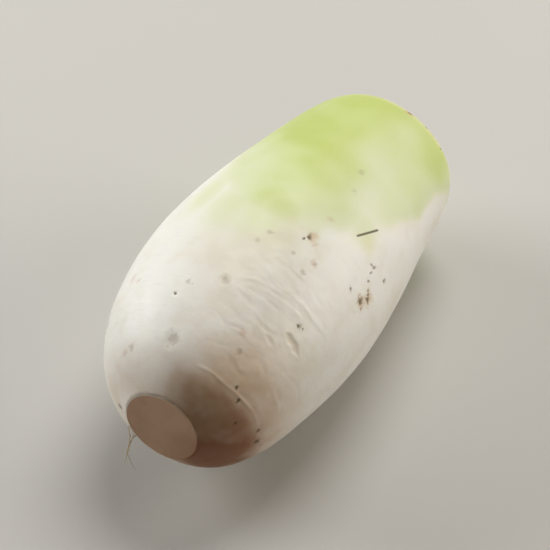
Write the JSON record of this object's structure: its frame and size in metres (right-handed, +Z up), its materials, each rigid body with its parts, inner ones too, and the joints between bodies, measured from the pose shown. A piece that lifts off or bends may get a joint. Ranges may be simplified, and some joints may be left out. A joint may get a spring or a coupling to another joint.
{
  "type": "daikon radish",
  "caption": "Short, thick white radish with a green crown shoulder, trimmed flat at crown and tail, lying on its side with fine rootlets at the tail.",
  "frame": {"origin": "on the surface it rests on, under the middle of its box", "axes": "+X along the root from the tail cut to the crown cut, +Z up, +Y to the left when looking from tail to crown"},
  "size_m": [0.225, 0.1162, 0.1107],
  "materials": {
    "radish_skin": "thin smooth vegetable skin, satin, cream white turning yellow green towards the crown",
    "rootlet_fibre": "dry matte root hair, pale tan"
  },
  "bodies": {
    "root": {"taproot": "radish_skin", "side_rootlet_1": "rootlet_fibre", "side_rootlet_2": "rootlet_fibre"}
  },
  "joints": []
}
